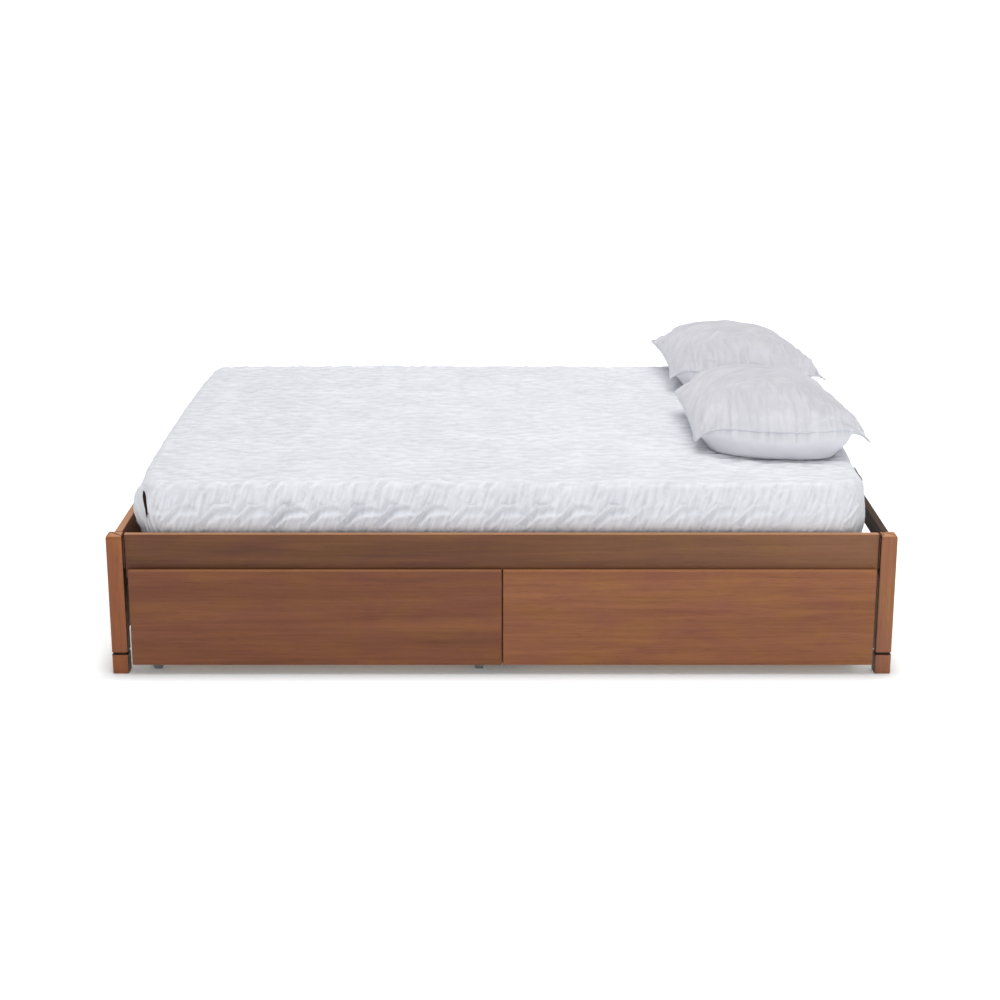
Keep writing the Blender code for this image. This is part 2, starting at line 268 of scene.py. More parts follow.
def maths(tree, operation, first, second=0.0):
    return add_node(tree, "Math", {0: first, 1: second}, operation=operation).outputs[0]


def mixed(tree, factor, first, second, mode="MIX"):
    """Two colours mixed, or the second laid over the first."""
    inputs = {0: factor, 6: first, 7: second}
    return add_node(tree, "Mix", inputs, data_type="RGBA", blend_type=mode).outputs[2]


def ranged(tree, value, low, high, to_low=0.0, to_high=1.0):
    inputs = {0: value, 1: low, 2: high, 3: to_low, 4: to_high}
    return add_node(tree, "MapRange", inputs).outputs[0]


def object_place(tree):
    return add_node(tree, "TexCoord").outputs["Object"]


def cloudy(tree, place, scale, detail=3.0, roughness=0.5, distortion=0.0):
    """Soft noise. The scale is one number, or one for each axis."""
    if not isinstance(scale, (int, float)):
        place = add_node(tree, "Mapping", {"Vector": place, "Scale": scale}).outputs[0]
        scale = 1.0
    inputs = {
        "Vector": place,
        "Scale": scale,
        "Detail": detail,
        "Roughness": roughness,
        "Distortion": distortion,
    }
    return add_node(tree, "TexNoise", inputs).outputs[0]


def bumped(tree, shader, height, distance, strength=1.0):
    """Joins a height to the shader as a bump. More than one can be stacked."""
    inputs = {"Height": height, "Distance": distance, "Strength": strength}
    before = shader.inputs["Normal"].links
    if before:
        inputs["Normal"] = before[0].from_socket
    tree.links.new(add_node(tree, "Bump", inputs).outputs[0], shader.inputs["Normal"])


# ------------------------------------------------------------------------------------ materials


def wood(
    name,
    dark,
    light,
    axis,
    shift=0.0,
    figure=1.0,
    shine=0.42,
    coat=0.06,
    pores=0.25,
    paler=0.0,
    top=0.5,
    blotches=0.75,
):
    """Wood with its grain along one axis: 0 is X, 1 is Y and 2 is Z.

    Faces that look up are painted paler, by the amount of top, as a painted highlight where the lacquer
    catches light, and the colour grows paler towards +X by the amount of paler, as painted light from
    the head end. Its blotches turn from reddish to golden brown.
    """
    made, tree, shader = new_material(
        name, Coat_Weight=coat, Coat_Roughness=0.30, Specular_IOR_Level=0.22
    )

    def stretched(along, across):
        scale = [across] * 3
        scale[axis] = along
        return tuple(scale)

    place = add_node(
        tree, "Mapping", {"Vector": object_place(tree), "Location": (shift, shift * 1.7, shift * 0.6)}
    ).outputs[0]
    bands = cloudy(tree, place, stretched(0.7, 7.0), 2.0)
    rings = cloudy(tree, place, stretched(1.5, 34.0 * figure), 5.0, 0.62, 0.7)
    streaks = cloudy(tree, place, stretched(2.6, 170.0), 4.0, 0.65)
    flecks = cloudy(tree, place, stretched(22.0, 760.0), 2.0, 0.5)

    rings = ranged(tree, rings, 0.32, 0.68)
    bands = ranged(tree, bands, 0.30, 0.70)
    streaks = ranged(tree, streaks, 0.30, 0.70)
    tone = maths(tree, "MULTIPLY", rings, 0.44)
    tone = maths(tree, "ADD", tone, maths(tree, "MULTIPLY", bands, 0.30))
    tone = maths(tree, "ADD", tone, maths(tree, "MULTIPLY", streaks, 0.26))
    colour = mixed(tree, tone, dark, light)
    blotch = ranged(tree, cloudy(tree, place, stretched(5.0, 12.0), 4.0, 0.55, 0.6), 0.38, 0.62)
    hue = mixed(tree, blotch, (0.96, 0.88, 1.10, 1.0), (1.06, 1.12, 0.82, 1.0))
    colour = mixed(tree, blotches, colour, hue, "MULTIPLY")
    # Painted light: this pale colour is laid on towards +X, for light from the head end, and on faces
    # that look up, as a painted highlight.
    painted_light_colour = srgb(236, 172, 124)
    along = add_node(tree, "SeparateXYZ", {0: object_place(tree)}).outputs[0]
    colour = mixed(tree, ranged(tree, along, 0.0, 1.0, 0.0, paler), colour, painted_light_colour)
    facing = add_node(tree, "SeparateXYZ", {0: add_node(tree, "NewGeometry").outputs["Normal"]})
    colour = mixed(tree, ranged(tree, facing.outputs[2], 0.35, 0.95, 0.0, top), colour, painted_light_colour)
    pore = ranged(tree, flecks, 0.56, 0.72)
    shade = maths(tree, "SUBTRACT", 1.0, maths(tree, "MULTIPLY", pore, pores))
    grey = add_node(tree, "CombineColor", {0: shade, 1: shade, 2: shade}).outputs[0]
    tree.links.new(mixed(tree, 1.0, colour, grey, "MULTIPLY"), shader.inputs["Base Color"])
    roughness = ranged(tree, streaks, 0.0, 1.0, shine + 0.08, shine - 0.06)
    tree.links.new(roughness, shader.inputs["Roughness"])
    bumped(tree, shader, pore, 0.00018, 0.6)
    bumped(tree, shader, streaks, 0.00010, 0.5)
    return made


def post_wood(name, dark, light, shift):
    """Upright wood with painted shade: nearly black on the side towards the bed and in the groove at
    its foot, where shadow falls.
    """
    made = wood(name, dark, light, 2, shift)
    tree = made.node_tree
    shader = tree.nodes["Principled BSDF"]
    facing = add_node(tree, "SeparateXYZ", {0: add_node(tree, "NewGeometry").outputs["Normal"]})
    spot = add_node(tree, "SeparateXYZ", {0: object_place(tree)})
    outwards = maths(tree, "MULTIPLY", facing.outputs[0], maths(tree, "SIGN", spot.outputs[0]))
    # Painted shade on the faces that look towards the bed and in the groove at the foot.
    inner = ranged(tree, outwards, -0.45, -0.85)
    off_groove = maths(tree, "ABSOLUTE", maths(tree, "SUBTRACT", spot.outputs[2], GROOVE_Z))
    in_groove = ranged(tree, off_groove, GROOVE_HALF, GROOVE_HALF + 0.0004, 1.0, 0.0)
    colour = shader.inputs["Base Color"].links[0].from_socket
    painted_shade = mixed(tree, maths(tree, "MAXIMUM", inner, in_groove), colour, srgb(46, 22, 11))
    tree.links.new(painted_shade, shader.inputs["Base Color"])
    return made


def plywood(name, layer_axis, shift):
    """Pale birch plywood: plain on its faces, with its layers showing on its cut edges."""
    made, tree, shader = new_material(name, Specular_IOR_Level=0.3)
    place = object_place(tree)
    broad = cloudy(tree, place, 2.6, 4.0, 0.6, 0.8)
    grain = cloudy(tree, place, (9.0, 9.0, 90.0), 5.0, 0.6)
    face = mixed(tree, ranged(tree, broad, 0.3, 0.7), srgb(196, 163, 122), srgb(214, 184, 146))
    face = mixed(tree, ranged(tree, grain, 0.35, 0.75, 0.0, 0.5), face, srgb(172, 134, 94))
    along = add_node(tree, "SeparateXYZ", {0: place}).outputs[layer_axis]
    turns = maths(tree, "MULTIPLY", maths(tree, "ADD", along, shift), 2 * math.pi / PLY_PITCH)
    layers = maths(tree, "SINE", turns)
    facing = add_node(tree, "SeparateXYZ", {0: add_node(tree, "NewGeometry").outputs["Normal"]})
    flat = maths(tree, "ABSOLUTE", facing.outputs[layer_axis])
    on_edge = ranged(tree, flat, 0.6, 0.4)
    stripe = maths(tree, "MULTIPLY", ranged(tree, layers, -0.3, 0.3), on_edge)
    colour = mixed(tree, maths(tree, "MULTIPLY", stripe, 0.75), face, srgb(126, 88, 56))
    tree.links.new(colour, shader.inputs["Base Color"])
    tree.links.new(ranged(tree, grain, 0.3, 0.7, 0.52, 0.68), shader.inputs["Roughness"])
    bumped(tree, shader, grain, 0.00015, 0.5)
    return made


def metal(name, colour, worn, metallic, rough_low, rough_high, grain_scale):
    """Coated or plated steel, with a fine orange-peel surface and slightly worn patches."""
    made, tree, shader = new_material(name, Metallic=metallic)
    place = object_place(tree)
    peel = cloudy(tree, place, grain_scale, 2.0)
    patches = cloudy(tree, place, 38.0, 5.0, 0.6)
    rubbed = ranged(tree, patches, 0.55, 0.72)
    tree.links.new(mixed(tree, rubbed, colour, worn), shader.inputs["Base Color"])
    tree.links.new(ranged(tree, patches, 0.3, 0.7, rough_low, rough_high), shader.inputs["Roughness"])
    bumped(tree, shader, peel, 0.00006, 0.5)
    return made


def nylon(name):
    """Grey moulded nylon, scuffed on the tread."""
    made, tree, shader = new_material(name, Specular_IOR_Level=0.45)
    place = object_place(tree)
    scuffs = cloudy(tree, place, (60.0, 420.0, 420.0), 4.0, 0.6)
    fine = cloudy(tree, place, 900.0, 2.0)
    scuffed = ranged(tree, scuffs, 0.5, 0.7, 0.0, 0.6)
    colour = mixed(tree, scuffed, srgb(104, 104, 108), srgb(142, 140, 138))
    tree.links.new(colour, shader.inputs["Base Color"])
    tree.links.new(ranged(tree, scuffs, 0.3, 0.7, 0.42, 0.62), shader.inputs["Roughness"])
    bumped(tree, shader, fine, 0.00005, 0.5)
    return made


def weave(tree, place, thread):
    """The height of a plain weave with this many metres from thread to thread, on any face."""
    bars = []
    for axis in range(3):
        along = add_node(tree, "SeparateXYZ", {0: place}).outputs[axis]
        bars.append(maths(tree, "SINE", maths(tree, "MULTIPLY", along, math.pi / thread)))
    pairs = maths(tree, "MULTIPLY", bars[0], bars[1])
    pairs = maths(tree, "ADD", pairs, maths(tree, "MULTIPLY", bars[1], bars[2]))
    return maths(tree, "ADD", pairs, maths(tree, "MULTIPLY", bars[0], bars[2]))


def cotton(name, light, shaded, thread=0.0007, sheen=0.25, crumple=0.0006):
    """White cotton with a plain weave, soft sheen and slight creasing."""
    made, tree, shader = new_material(
        name, Sheen_Weight=sheen, Sheen_Roughness=0.45, Specular_IOR_Level=0.25, Roughness=0.85
    )
    place = object_place(tree)
    soft = cloudy(tree, place, 7.0, 4.0, 0.55, 0.3)
    creases = cloudy(tree, place, (46.0, 62.0, 62.0), 4.0, 0.6, 0.6)
    slubs = cloudy(tree, place, (420.0, 90.0, 420.0), 3.0, 0.6)
    colour = mixed(tree, ranged(tree, soft, 0.35, 0.65), light, shaded)
    colour = mixed(tree, ranged(tree, slubs, 0.58, 0.75, 0.0, 0.25), colour, shaded)
    tree.links.new(colour, shader.inputs["Base Color"])
    tree.links.new(ranged(tree, slubs, 0.3, 0.7, 0.80, 0.92), shader.inputs["Roughness"])
    bumped(tree, shader, creases, crumple, 0.5)
    bumped(tree, shader, weave(tree, place, thread), 0.00006, 0.35)
    return made


def paint_crease_shade(material, amount):
    """Paints shade on the cloth where its own crease value, from -1 on a crest to 1 in a hollow, is
    high, so that hollows look shaded and crests lit.
    """
    tree = material.node_tree
    shader = tree.nodes["Principled BSDF"]
    crease = add_node(tree, "Attribute", attribute_name="crease").outputs["Fac"]
    shade = ranged(tree, crease, -1.0, 1.0, 1.0, 1 - amount)
    grey = add_node(tree, "CombineColor", {0: shade, 1: shade, 2: shade}).outputs[0]
    colour = shader.inputs["Base Color"].links[0].from_socket
    tree.links.new(mixed(tree, 1.0, colour, grey, "MULTIPLY"), shader.inputs["Base Color"])


def shade_by_slope(material, start, end, shade):
    """Paints shade on the cloth by its slope: multiplies its colour by a shade, in full where the
    normal's Z is at or past the end.
    """
    tree = material.node_tree
    shader = tree.nodes["Principled BSDF"]
    facing = add_node(tree, "SeparateXYZ", {0: add_node(tree, "NewGeometry").outputs["Normal"]})
    share = ranged(tree, facing.outputs[2], start, end)
    colour = shader.inputs["Base Color"].links[0].from_socket
    shaded = mixed(tree, share, colour, (shade, shade, shade, 1.0), "MULTIPLY")
    tree.links.new(shaded, shader.inputs["Base Color"])


def set_creases(obj, values):
    """Keeps a crease value for each point of the mesh."""
    layer = obj.data.attributes.new("crease", "FLOAT", "POINT")
    layer.data.foreach_set("value", np.clip(values, -1, 1).astype(np.float32).ravel())


def quilted_cotton(name):
    """The cover's cotton, with painted shade along the sewn groove of each circle, in its creases and
    down its sides.

    The circles follow the cloth's own flat coordinates, kept as its UV map in metres.
    """
    made = cotton(name, srgb(229, 230, 235), srgb(221, 222, 228), crumple=0.0009)
    tree = made.node_tree
    shader = tree.nodes["Principled BSDF"]
    flat = add_node(tree, "UVMap", uv_map="flat").outputs[0]
    place = add_node(tree, "SeparateXYZ", {0: flat})
    squares = []
    for axis, start in ((0, QUILT_X), (1, QUILT_Y)):
        cell = maths(tree, "DIVIDE", maths(tree, "SUBTRACT", place.outputs[axis], start), QUILT_PITCH)
        middle = maths(tree, "SUBTRACT", maths(tree, "FRACT", cell), 0.5)
        squares.append(maths(tree, "MULTIPLY", middle, middle))
    out = maths(tree, "SQRT", maths(tree, "ADD", squares[0], squares[1]))
    from_line = maths(tree, "ABSOLUTE", maths(tree, "SUBTRACT", out, 0.5))
    groove = ranged(tree, from_line, 0.004, 0.026, 1.0, 0.0)
    colour = shader.inputs["Base Color"].links[0].from_socket
    # Painted shade along the sewn groove of each circle.
    groove_shade = mixed(tree, maths(tree, "MULTIPLY", groove, 0.09), colour, srgb(196, 196, 206))
    tree.links.new(groove_shade, shader.inputs["Base Color"])
    bumped(tree, shader, maths(tree, "SUBTRACT", 1.0, groove), 0.0004, 0.5)
    # Painted shade in the hollows of the quilting, painted highlight on its crests.
    paint_crease_shade(made, 0.16)
    # Painted shade down the cover's sides.
    shade_by_slope(made, 0.85, 0.25, 0.92)
    return made


def ticking(name):
    """Dark knitted mattress fabric with a small raised rib."""
    made, tree, shader = new_material(name, Roughness=0.95, Specular_IOR_Level=0.1)
    place = object_place(tree)
    soft = cloudy(tree, place, 24.0, 4.0, 0.6)
    fibres = cloudy(tree, place, 700.0, 2.0, 0.6)
    tone = maths(tree, "MULTIPLY", maths(tree, "ADD", soft, fibres), 0.5)
    colour = mixed(tree, ranged(tree, tone, 0.35, 0.65), srgb(34, 17, 15), srgb(54, 32, 28))
    tree.links.new(colour, shader.inputs["Base Color"])
    bumped(tree, shader, weave(tree, place, 0.0022), 0.0002, 0.7)
    bumped(tree, shader, fibres, 0.0001, 0.5)
    return made


def floor_material(name, half_x, half_y):
    """A plain white studio floor that glows brighter away from a bed of these half sizes; its weak glow
    under and near the bed is painted shadow.
    """
    made, tree, shader = new_material(
        name, Roughness=0.9, Specular_IOR_Level=0.1, Emission_Color=(0.97, 1.0, 1.02, 1)
    )
    place = object_place(tree)
    mottle = cloudy(tree, place, 1.5, 2.0)
    white = mixed(tree, mottle, srgb(248, 251, 252), srgb(250, 252, 253))
    tree.links.new(white, shader.inputs["Base Color"])
    spot = add_node(tree, "SeparateXYZ", {0: place})
    # Painted shadow: the glow is weakest under the bed, grows within a short reach of its sides, then
    # on to far off.
    beyond_x = maths(tree, "SUBTRACT", maths(tree, "ABSOLUTE", spot.outputs[0]), half_x)
    beyond_y = maths(tree, "SUBTRACT", maths(tree, "ABSOLUTE", spot.outputs[1]), half_y)
    beyond = maths(tree, "MAXIMUM", beyond_x, beyond_y)
    near = ranged(tree, beyond, 0.0, FLOOR_SHADE_REACH, FLOOR_GLOW, FLOOR_NEAR_GLOW)
    more = FLOOR_FAR_GLOW - FLOOR_NEAR_GLOW
    far = ranged(tree, beyond, FLOOR_SHADE_REACH, FLOOR_BRIGHT, 0.0, more)
    tree.links.new(maths(tree, "ADD", near, far), shader.inputs["Emission Strength"])
    return made


# ------------------------------------------------------------------------- cover and mattress


def over_block(u, v, half_x, half_y, top, corner, edge):
    """Lays flat cloth places (u, v), measured from the middle, over a rounded block.

    Gives the points, the way out at each, how far round the edge it is from 0 on top to 1 on the
    side, how far down the side it is, its place in the quilting, and how far its side has turned
    from the end of the block, in radians.
    """
    inner_x = half_x - corner
    inner_y = half_y - corner
    past_x = np.maximum(np.abs(u) - inner_x, 0)
    past_y = np.maximum(np.abs(v) - inner_y, 0)
    out = np.maximum(past_x, past_y)
    share = np.minimum(past_x, past_y) / np.maximum(out, 1e-9)
    turn = np.where(past_x >= past_y, share * math.pi / 4, math.pi / 2 - share * math.pi / 4)

    flat = corner - edge
    arc = edge * math.pi / 2
    roll = np.clip((out - flat) / arc, 0, 1)
    tip = roll * math.pi / 2
    reach = np.minimum(out, flat) + edge * np.sin(tip)
    drop = np.maximum(out - flat - arc, 0)

    way_x = np.where(u < 0, -1.0, 1.0)
    way_y = np.where(v < 0, -1.0, 1.0)
    x = way_x * (np.minimum(np.abs(u), inner_x) + reach * np.cos(turn))
    y = way_y * (np.minimum(np.abs(v), inner_y) + reach * np.sin(turn))
    z = top - edge * (1 - np.cos(tip)) - drop
    outward = np.stack(
        (way_x * np.cos(turn) * np.sin(tip), way_y * np.sin(turn) * np.sin(tip), np.cos(tip)), -1
    )

    on_end = turn < math.pi / 4
    round_x = np.where(on_end, out, corner * (math.pi / 2 - turn))
    round_y = np.where(on_end, corner * turn, out)
    pattern_x = way_x * (np.minimum(np.abs(u), inner_x) + mix(out * np.cos(turn), round_x, roll))
    pattern_y = way_y * (np.minimum(np.abs(v), inner_y) + mix(out * np.sin(turn), round_y, roll))
    return np.stack((x, y, z), -1), outward, roll, drop, pattern_x, pattern_y, turn


def mix(first, second, share):
    return first + (second - first) * share


def quilt_relief(x, y, roll, on_end, foot_share):
    """How far the quilted cloth stands out at each flat place, with its puckers and folds."""
    across = (x - QUILT_X) / QUILT_PITCH
    along = (y - QUILT_Y) / QUILT_PITCH
    column = np.floor(across)
    row = np.floor(along)
    from_x = across - column - 0.5
    from_y = along - row - 0.5
    out = 2 * np.hypot(from_x, from_y)
    gap = np.abs(out - 1) * QUILT_PITCH / 2
    puff = np.where(out < 1, CIRCLE_PUFF, DIAMOND_PUFF) * (0.75 + 0.5 * lattice_value(column, row, 3))
    slack = (0.75 + 0.5 * ripple_noise(x / 0.08, y / 0.08, 2)) * mix(1.0, 0.55, roll)
    relief = puff * slack * (1 - np.exp(-((gap / STITCH_SPREAD) ** 1.25)))

    angle = np.arctan2(from_y, from_x)
    wander = 3.0 * ripple_noise(x / 0.045, y / 0.045, 11)
    near_line = np.exp(-gap / 0.011)
    relief = relief + 0.0008 * near_line * np.cos(19 * angle + wander) * (gap > 0.001)

    streaks = ripple_noise(x / 0.060, y / 0.017, 5) + 0.6 * ripple_noise(x / 0.034, y / 0.010, 6)
    level = np.where(on_end, y, x)
    down = np.where(on_end, np.abs(x), np.abs(y))
    leaning = level + 0.32 * down
    puckers = ripple_noise(leaning / 0.0075, down / 0.050, 7)
    puckers = puckers + 0.9 * ripple_noise(leaning / 0.013, down / 0.06, 8)
    relief = relief + mix(0.0044 * streaks, 0.0023 * puckers, roll)

    folds = 0
    for aside in (0, 1):
        fold_x = 2 * (from_x - aside)
        fold_y = 2 * from_y
        depth = 0.40 + 1.1 * lattice_value(column + aside, row, 9)
        stray = 0.16 * lattice_value(column + aside, row, 14)
        level_part = np.maximum(fold_x + 0.25, 0) * 0.62
        beyond = (fold_y - fold_x) / math.sqrt(2) - 0.78 - stray + level_part
        length = (fold_x + fold_y) / math.sqrt(2)
        reach = smooth_step(length, -1.25, -0.55) * (1 - smooth_step(length, 0.75, 1.15))
        crest = 1.1 * np.exp(-((beyond / 0.075) ** 2)) - 0.6 * np.exp(-(((beyond + 0.22) / 0.13) ** 2))
        second = np.exp(-(((beyond + 0.52) / 0.09) ** 2)) * 0.5
        folds = folds + depth * reach * (crest + second)
    relief = relief + 0.0122 * folds * roll * foot_share * ~on_end
    return relief * mix(1.0, 0.6, on_end * roll) + 0.0022 * ripple_noise(x / 0.33, y / 0.27, 21)


def hollows(relief):
    """How far each place in a grid lies below the mean of the places round it."""
    mean = relief
    for axis in (0, 1):
        mean = sum(np.roll(mean, step, axis) for step in range(-5, 6)) / 11
    return mean - relief


def cover_surface(half_x, half_y, top, hem):
    """The quilted cover's shape before its relief: what over_block gives, and how far it reaches."""
    flat_out = COVER_CORNER - COVER_EDGE + COVER_EDGE * math.pi / 2 + (top - COVER_EDGE - hem)
    reach_x = half_x - COVER_CORNER + flat_out
    reach_y = half_y - COVER_CORNER + flat_out
    columns = round(2 * reach_x / CLOTH_STEP) + 1
    inner_y = half_y - COVER_CORNER
    side = np.linspace(inner_y, reach_y, round(flat_out / SIDE_STEP))
    flat = np.linspace(-inner_y, inner_y, round(2 * inner_y / TOP_STEP))
    rows = np.concatenate((-side[::-1], flat[1:-1], side))
    u, v = np.meshgrid(np.linspace(-reach_x, reach_x, columns), rows, indexing="ij")
    points, outward, roll, drop, quilt_x, quilt_y, turn = over_block(
        u, v, half_x, half_y, top, COVER_CORNER, COVER_EDGE
    )
    quilt_y = quilt_y + np.sign(v) * EDGE_SLACK * roll
    return points, outward, roll, drop, quilt_x, quilt_y, turn, (reach_x, reach_y)


def slit_turn(z):
    """The angle round the near foot corner of the opening in its fold, at each height."""
    return 0.75 + 0.16 * (FOLD_TOP - 0.013 - z) / 0.062


def corner_fold(turn, z):
    """The loose fold of cloth at the near foot corner: a loop, an opening beside it, and puckers."""
    loop = np.sin(math.pi * np.clip((FOLD_TOP - z) / FOLD_HEIGHT, 0, 1) ** 0.7)
    opening = np.sin(math.pi * np.clip((FOLD_TOP - 0.008 - z) / 0.080, 0, 1)) ** 0.6
    beside = turn - slit_turn(z)
    relief = FOLD_DEPTH * loop * np.exp(-(((turn - 0.38) / 0.21) ** 2))
    lip = 0.004 * np.exp(-(((beside - 0.16) / 0.07) ** 2))
    dip = 0.006 * np.exp(-((beside / 0.09) ** 2))
    relief = relief + opening * (lip - dip)
    low_down = smooth_step(-z, -0.440, -0.410) * np.sin(2 * turn)
    return relief + 0.007 * low_down * ripple_noise(turn / 0.16 + z / 0.03, z / 0.05, 51)


def laid_strip(name, cover, path, across, width, lift):
    """A tapering strip of the mattress's dark border on the cover. Gives its points, row by row."""
    points = []
    for i, place in enumerate(path):
        taper = math.sin(math.pi * (i + 0.5) / len(path)) ** 0.6
        for side in (-1, -0.5, 0, 0.5, 1):
            spot = Vector(place) + Vector(across) * width * taper * side
            _, found, normal, _ = cover.closest_point_on_mesh(spot)
            points.append(found + normal * lift * (1.2 - side * side))
    points = np.array(points).reshape(len(path), 5, 3)
    for _ in range(3):
        points[1:-1] = (points[:-2] + 2 * points[1:-1] + points[2:]) / 4
    strip = mesh_object(name, points.reshape(-1, 3), grid_faces(len(path), 5))
    paint(strip, bpy.data.materials["knitted_ticking"])
    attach(strip, "mattress")
    return points


def border_glimpses(cover):
    """The two places where the dark mattress shows: the corner fold and the edge at the head end."""
    low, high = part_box("mattress_cover")
    middle_x = low.x + COVER_INSET + COVER_CORNER
    middle_y = low.y + COVER_INSET + COVER_CORNER
    slit = []
    for z in np.linspace(FOLD_TOP - 0.010, FOLD_TOP - 0.084, 18):
        turn = slit_turn(z)
        slit.append((middle_x - 0.085 * math.cos(turn), middle_y - 0.085 * math.sin(turn), z))
    turn = slit_turn(FOLD_TOP - 0.048)
    across = (-math.sin(turn), math.cos(turn), 0)
    opening = laid_strip("fold_opening", cover, slit, across, 0.0028, 0.0012)
    rim = tube("fold_opening_hem", np.concatenate((opening[:, 0], opening[::-1, -1])), 0.0014)
    paint(rim, bpy.data.materials["hem_cotton"])
    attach(rim, "mattress")
    places = np.linspace(low.y + 0.07, low.y + 0.21, 14)
    head_edge = [(high.x + 0.010, y, high.z - 0.004) for y in places]
    laid_strip("border_at_head", cover, head_edge, (0.7, 0, -0.7), 0.0036, 0.0026)


def quilted_cover():
    """The fitted cover: one quilted sheet over the mattress's top and down its sides."""
    low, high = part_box("mattress_cover")
    middle = (low + high) / 2
    half_x = (high.x - low.x) / 2 - COVER_INSET
    half_y = (high.y - low.y) / 2 - COVER_INSET
    top = high.z - COVER_INSET
    surface = cover_surface(half_x, half_y, top, low.z)
    points, outward, roll, drop, quilt_x, quilt_y, turn, reach = surface
    quilt_y = quilt_y + middle.y
    foot_share = 1 - 0.75 * smooth_step(points[..., 0], -half_x * 0.6, half_x * 0.9)
    relief = quilt_relief(quilt_x, quilt_y, roll, turn < math.pi / 4, foot_share)

    depth = top - low.z
    down = drop / depth
    belly = 0.006 * np.sin(math.pi * np.clip(down, 0, 1)) * roll
    sag = 0.0030 * ripple_noise(quilt_x / 0.21, quilt_y / 0.21 + 7, 31) * roll
    tuck = -0.010 * smooth_step(down, 0.45, 0.95)
    corner = (points[..., 0] < 0) & (points[..., 1] < 0)
    height = points[..., 2]
    fold = np.where(corner, corner_fold(turn, height), 0)
    beside = np.exp(-(((turn - slit_turn(height)) / 0.34) ** 4))
    beside = beside * smooth_step(height, FOLD_TOP - FOLD_HEIGHT, FOLD_TOP - FOLD_HEIGHT + 0.02)
    relief = relief * (1 - 0.92 * corner * beside * roll)
    out = np.maximum(relief + belly + sag + tuck + fold, COVER_LOWEST)
    points = points + outward * out[..., None]
    towards_foot = smooth_step(-points[..., 0], half_x * 0.5, half_x)
    towards_head = smooth_step(points[..., 0], half_x * 0.5, half_x)
    bow = 1 - (points[..., 1] / half_y) ** 2
    points[..., 0] += (HEAD_BULGE * towards_head - FOOT_BULGE * towards_foot) * bow
    points[..., 1] += middle.y
    points[..., 0] += middle.x

    columns, rows = points.shape[:2]
    cover = mesh_object("quilted_cover", points.reshape(-1, 3), grid_faces(columns, rows))
    flat = np.stack((quilt_x, quilt_y), -1).reshape(-1, 2)
    layer = cover.data.uv_layers.new(name="flat")
    corners = np.zeros(len(cover.data.loops), np.int32)
    cover.data.loops.foreach_get("vertex_index", corners)
    layer.data.foreach_set("uv", flat[corners].astype(np.float32).ravel())
    set_creases(cover, hollows(relief) / 0.0020)
    paint(cover, quilted_cotton("quilted_cotton"))

    edge = np.concatenate((points[:, 0], points[-1, 1:], points[-2::-1, -1], points[0, -2:0:-1]))
    hem = tube("cover_hem", edge[::3], HEM_RADIUS)
    paint(hem, cotton("hem_cotton", srgb(226, 226, 231), srgb(216, 216, 222)))

    for piece in (cover, hem):
        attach(piece, "mattress")
    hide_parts("mattress_cover")
    return cover


def mattress_core():
    """The mattress under the cover: a rounded block in dark ticking, with shallow tufts."""
    low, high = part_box("mattress")
    middle = (low + high) / 2
    half = (high - low) / 2
    corner = COVER_CORNER - 0.010
    edge = 0.024
    flat_out = corner - edge + edge * math.pi / 2 + (half.z - edge)
    reach_x = half.x - corner + flat_out
    reach_y = half.y - corner + flat_out
    columns = round(2 * reach_x / CORE_STEP) + 1
    rows = round(2 * reach_y / CORE_STEP) + 1
    along = np.linspace(-reach_x, reach_x, columns)
    aside = np.linspace(-reach_y, reach_y, rows)
    u, v = np.meshgrid(along, aside, indexing="ij")
    points, outward, roll, *_ = over_block(u, v, half.x, half.y, half.z, corner, edge)
    turns = 2 * math.pi / TUFT_PITCH
    tufts = TUFT_DEPTH * np.cos(u * turns) * np.cos(v * turns) * (1 - roll)
    points = points + outward * (tufts - TUFT_DEPTH)[..., None]
    upper = points.reshape(-1, 3)
    lower = upper * (1, 1, -1)
    faces = grid_faces(columns, rows)
    both = np.concatenate((faces, faces[:, ::-1] + len(upper)))
    core = mesh_object("mattress_core", np.concatenate((upper, lower)) + np.array(middle), both)
    tool = bmesh.new()
    tool.from_mesh(core.data)
    bmesh.ops.remove_doubles(tool, verts=tool.verts, dist=0.0002)
    tool.to_mesh(core.data)
    tool.free()
    paint(core, ticking("knitted_ticking"))
    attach(core, "mattress")
    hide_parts("mattress")


# --------------------------------------------------------------------------------------- pillows


def pillow_grid(columns, rows):
    """The faces of a case: an upper and a lower layer joined all round.

    Gives the faces, the points where the layers join, in order, and which points each layer has.
    """
    index = np.arange(columns * rows).reshape(columns, rows)
    rim = np.zeros((columns, rows), bool)
    rim[[0, -1], :] = True
    rim[:, [0, -1]] = True
    under = index.copy()
    under[~rim] = columns * rows + np.arange((~rim).sum())
    faces = grid_faces(columns, rows)
    both = np.concatenate((faces, under.reshape(-1)[faces][:, ::-1]))
    seam = np.concatenate((index[:, 0], index[-1, 1:], index[-2::-1, -1], index[0, -2:0:-1]))
    return both, seam, index[~rim]


